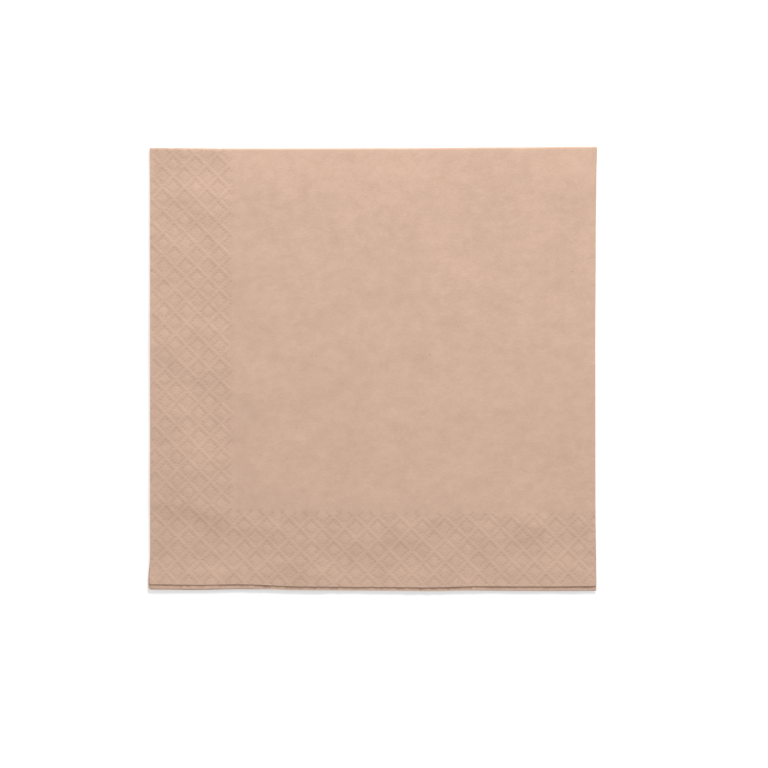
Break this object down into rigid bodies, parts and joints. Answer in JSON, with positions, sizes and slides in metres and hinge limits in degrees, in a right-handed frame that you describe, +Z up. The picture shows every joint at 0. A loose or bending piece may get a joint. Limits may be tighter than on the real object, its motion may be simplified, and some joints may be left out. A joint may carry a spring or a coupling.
{
  "type": "paper napkin",
  "caption": "Square kraft-brown paper napkin folded in quarters and lying flat, with an embossed border along its open edges.",
  "frame": {"origin": "middle of the folded napkin's footprint, on the surface that it lies on", "axes": "+Z up out of the napkin's top layer; the folds are at +X and +Y, the loose cut edges at -X and -Y"},
  "size_m": [0.1652, 0.164, 0.0016],
  "materials": {
    "tissue": "matte"
  },
  "bodies": {
    "root": {"napkin": "tissue"}
  },
  "joints": []
}
